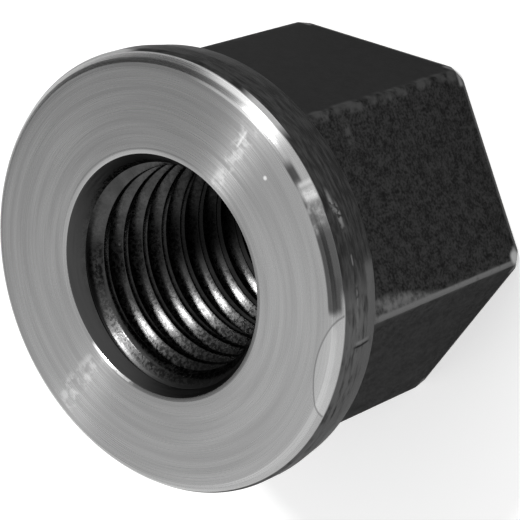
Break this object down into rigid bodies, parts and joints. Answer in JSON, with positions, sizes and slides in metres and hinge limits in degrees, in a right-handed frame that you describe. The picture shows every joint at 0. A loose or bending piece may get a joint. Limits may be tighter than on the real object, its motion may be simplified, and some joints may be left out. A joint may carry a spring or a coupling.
{
  "type": "flange nut",
  "caption": "Tall hexagon nut with an integral turned collar, a bare bearing face and a coarse threaded bore, for clamping on a stud.",
  "frame": {"origin": "centre of the hexagon's end face, on the bore's axis", "axes": "+Z along the bore, from the hexagon end to the collar's bearing face; two hexagon corners lie on the X axis"},
  "size_m": [0.045, 0.045, 0.0335],
  "materials": {
    "black_steel": "black oxide on the hexagon, rim and thread; collar face and its chamfer turned bare"
  },
  "bodies": {
    "root": {"flange_nut": "black_steel"}
  },
  "joints": []
}
